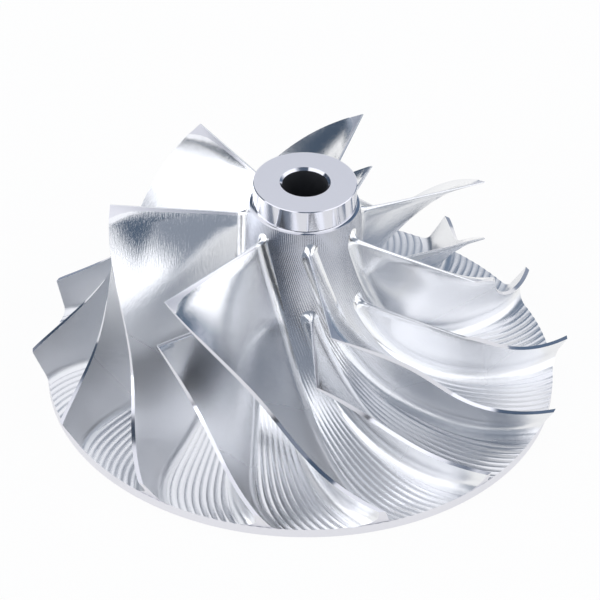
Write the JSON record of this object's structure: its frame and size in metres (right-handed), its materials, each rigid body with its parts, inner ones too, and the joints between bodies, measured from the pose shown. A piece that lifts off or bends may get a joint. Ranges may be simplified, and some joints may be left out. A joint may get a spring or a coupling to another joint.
{
  "type": "compressor wheel",
  "caption": "One-piece radial compressor wheel with a bored nose hub, full blades and shorter splitter blades curving out over a thin flat-backed disc.",
  "frame": {"origin": "on the bore axis, in the plane of the flat back face", "axes": "+Z along the bore axis from the back face to the nose; +X is the direction that the wrap angles are counted from"},
  "size_m": [0.076, 0.0756, 0.0334],
  "materials": {
    "milled_aluminium": "bright as-milled billet aluminium, turned on the nose, rim and blade tips"
  },
  "bodies": {
    "root": {"compressor_wheel": "milled_aluminium"}
  },
  "joints": []
}
